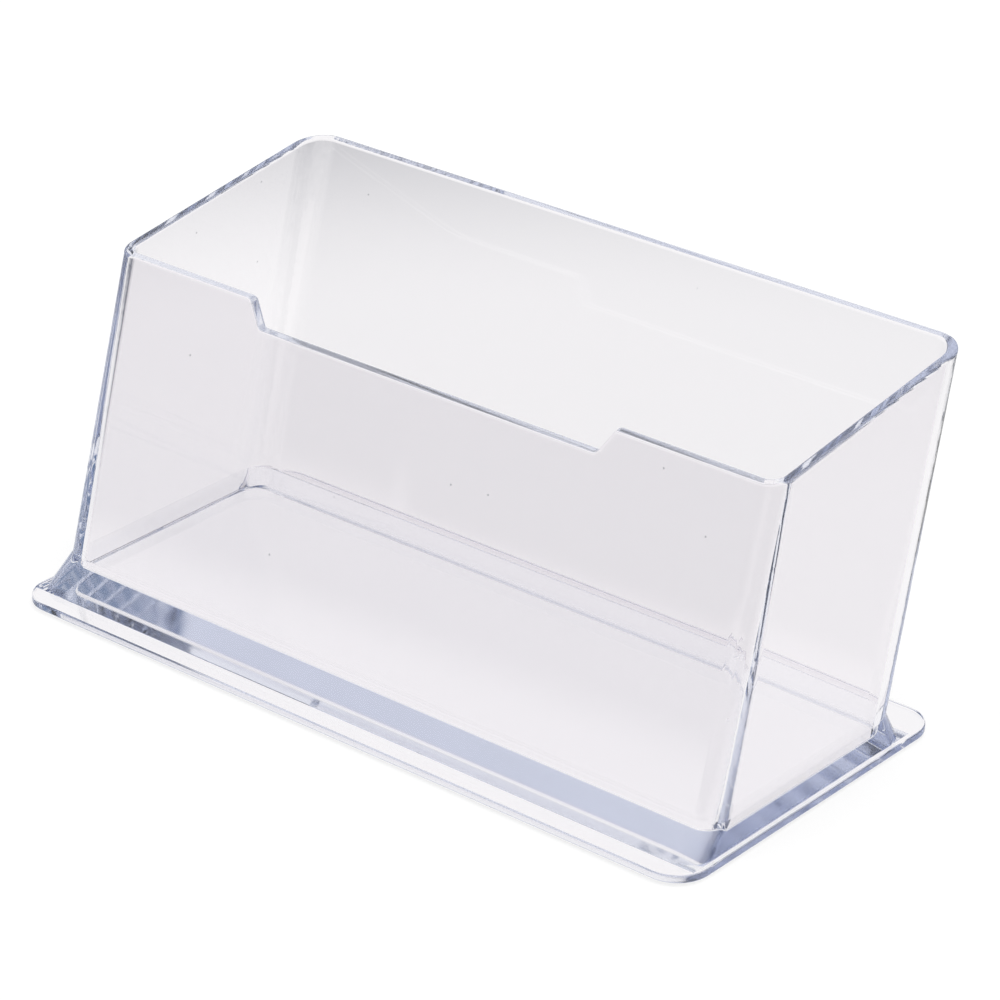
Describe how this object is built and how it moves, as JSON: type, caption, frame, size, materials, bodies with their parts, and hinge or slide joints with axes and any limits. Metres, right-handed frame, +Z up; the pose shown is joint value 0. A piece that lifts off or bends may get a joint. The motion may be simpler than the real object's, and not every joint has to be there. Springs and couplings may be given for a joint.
{
  "type": "business card holder",
  "caption": "Clear plastic desktop card holder: an open pocket with walls that lean back and a notched front rim, on a flared foot and a thin base plate.",
  "frame": {"origin": "middle of the base plate's underside, on the table", "axes": "+X across the stand along its longest side, +Y to the back, towards which the walls lean, +Z up"},
  "size_m": [0.1, 0.0512, 0.0448],
  "materials": {
    "clear_plate": "clear moulded polystyrene, glossy",
    "clear_pocket": "clear moulded polystyrene, glossy"
  },
  "bodies": {
    "root": {"base_plate": "clear_plate", "card_pocket": "clear_pocket"}
  },
  "joints": []
}
